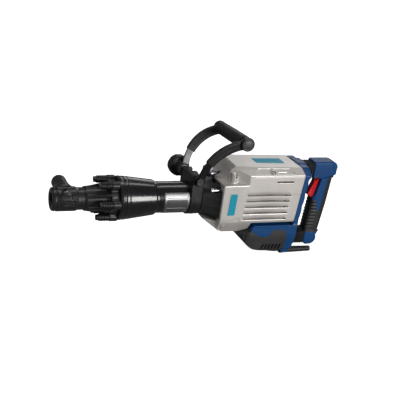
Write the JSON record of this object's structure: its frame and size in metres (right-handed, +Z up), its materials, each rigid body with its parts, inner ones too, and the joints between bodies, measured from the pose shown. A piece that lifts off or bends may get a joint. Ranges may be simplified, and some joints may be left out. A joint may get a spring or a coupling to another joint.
{
  "type": "electric demolition hammer",
  "caption": "Electric demolition hammer with a hexagonal shank chuck, swivelling D-shaped side handle and a sprung rear handle with a trigger.",
  "frame": {"origin": "centre of the mouth of the hexagonal shank bore", "axes": "+X from the mouth back along the tool to the rear handle, +Z up, -Y the side with the nameplate"},
  "size_m": [0.746, 0.1879, 0.3259],
  "materials": {
    "nose_paint": "satin black paint over cast steel",
    "gloss_black": "gloss black enamel",
    "tool_steel": "ground and oiled",
    "black_oxide": "black oxide",
    "zinc_steel": "bright zinc plate",
    "spring_steel": "oiled",
    "plate_silver": "satin anodised",
    "cast_silver": "satin silver coat over die casting",
    "cast_inner": "as cast",
    "hood_black": "fine grained",
    "housing_blue": "fine grained nylon",
    "boot_rubber": "matte",
    "soft_rubber": "matte",
    "seal_rubber": "matte",
    "trigger_red": "satin",
    "arm_steel": "grey coat",
    "strap_black": "satin black",
    "winding_copper": "varnished copper",
    "carbon": "matte carbon",
    "brush_brass": "plain",
    "switch_black": "moulded",
    "label_teal": "printed film"
  },
  "bodies": {
    "frame": {"tool_holder": "nose_paint", "retainer_bush": "tool_steel", "retainer_spring": "spring_steel", "nose_bolts": "black_oxide", "spring_stacks": "black_oxide", "front_sleeve": "gloss_black", "bolt_guide": "tool_steel", "bolt_backstop": "tool_steel", "barrel": "gloss_black", "nameplate": "plate_silver", "rubber_buffer": "seal_rubber", "cylinder_liner": "tool_steel", "gear_bearings": "tool_steel", "crank_case": "cast_inner", "front_hood": "hood_black", "labels": "label_teal", "grease_cap": "spring_steel", "case_screws": "zinc_steel", "shroud": "cast_silver", "armature_bearings": "tool_steel", "stator": "spring_steel", "brush_holders": "brush_brass", "brushes": "carbon", "motor_housing": "housing_blue", "belly_boot": "boot_rubber", "handle_guides": "tool_steel", "handle_springs": "spring_steel", "handle_bellows": "soft_rubber", "cord_guard": "soft_rubber"},
    "retainer_slider": {"retainer_washer": "tool_steel"},
    "retainer": {"retainer_pin": "tool_steel", "retainer_knob": "nose_paint"},
    "impact_bolt_body": {"impact_bolt": "tool_steel"},
    "striker_body": {"striker": "tool_steel", "striker_rings": "seal_rubber"},
    "piston_body": {"piston": "plate_silver", "piston_ring": "seal_rubber", "wrist_pin": "tool_steel"},
    "rod_body": {"connecting_rod": "cast_inner", "crank_pin": "tool_steel"},
    "crank_body": {"crankshaft": "tool_steel", "crank_gear": "tool_steel"},
    "idler_body": {"idler_shaft": "tool_steel", "idler_gear": "tool_steel"},
    "armature_body": {"armature_shaft": "tool_steel", "armature_core": "winding_copper", "commutator": "winding_copper", "fan": "switch_black"},
    "handle_body": {"rear_handle": "housing_blue", "handle_overmould": "soft_rubber", "power_switch": "switch_black"},
    "trigger_body": {"trigger": "trigger_red"},
    "clamp_body": {"clamp_strap": "strap_black", "clamp_saddle": "strap_black"},
    "bow_body": {"handle_bow": "arm_steel", "bow_covers": "soft_rubber", "side_grip": "soft_rubber", "grip_caps": "hood_black", "cross_bolt": "black_oxide"},
    "knob_body": {"clamp_knob": "hood_black"}
  },
  "joints": [
    {"name": "retainer_pull", "type": "slide", "parent": "frame", "child": "retainer_slider", "axis": [0, 1, 0], "range_m": [0, 0.008], "stiffness_N_per_m": 1200, "springref_m": -0.008, "deforming": ["retainer_spring"]},
    {"name": "retainer_turn", "type": "hinge", "parent": "retainer_slider", "child": "retainer", "pos_m": [0.031, 0.04, 0.02], "axis": [0, 1, 0], "range_deg": [0, 180]},
    {"name": "impact_bolt_travel", "type": "slide", "parent": "frame", "child": "impact_bolt_body", "axis": [1, 0, 0], "range_m": [-0.003, 0.007]},
    {"name": "striker_travel", "type": "slide", "parent": "frame", "child": "striker_body", "axis": [1, 0, 0], "range_m": [-0.022, 0.004]},
    {"name": "piston_travel", "type": "slide", "parent": "frame", "child": "piston_body", "axis": [1, 0, 0], "range_m": [-0.022, 0.022]},
    {"name": "rod_swing", "type": "hinge", "parent": "piston_body", "child": "rod_body", "pos_m": [0.36, 0, 0], "axis": [0, 0, 1], "range_deg": [-14, 14]},
    {"name": "armature_spin", "type": "hinge", "parent": "frame", "child": "armature_body", "pos_m": [0.548, 0, -0.05], "axis": [0, 0, 1], "continuous": true},
    {"name": "idler_spin", "type": "hinge", "parent": "frame", "child": "idler_body", "pos_m": [0.5, 0, 0.06], "axis": [0, 0, 1], "continuous": true},
    {"name": "crank_spin", "type": "hinge", "parent": "frame", "child": "crank_body", "pos_m": [0.452, 0, 0.03], "axis": [0, 0, 1], "continuous": true},
    {"name": "handle_damping", "type": "slide", "parent": "frame", "child": "handle_body", "axis": [-1, 0, 0], "range_m": [0, 0.008], "stiffness_N_per_m": 6000, "springref_m": -0.004, "deforming": ["handle_springs", "handle_bellows"]},
    {"name": "trigger_pull", "type": "hinge", "parent": "handle_body", "child": "trigger_body", "pos_m": [0.697, 0, 0.043], "axis": [0, -1, 0], "range_deg": [0, 8], "stiffness_Nm_per_rad": 0.5, "springref_deg": -11.46},
    {"name": "clamp_swivel", "type": "hinge", "parent": "frame", "child": "clamp_body", "pos_m": [0.35, 0, 0], "axis": [1, 0, 0], "continuous": true},
    {"name": "bow_tilt", "type": "hinge", "parent": "clamp_body", "child": "bow_body", "pos_m": [0.345, 0.00391, 0.05586], "axis": [0, 0.9976, -0.0698], "range_deg": [-90, 0]},
    {"name": "knob_turn", "type": "hinge", "parent": "bow_body", "child": "knob_body", "pos_m": [0.345, 0.08371, 0.05028], "axis": [0, 0.9976, -0.0698], "range_deg": [-360, 0]}
  ],
  "couplings": [
    {"joint": "idler_spin", "follows": "armature_spin", "ratio": -0.23077},
    {"joint": "crank_spin", "follows": "armature_spin", "ratio": 0.085714}
  ]
}
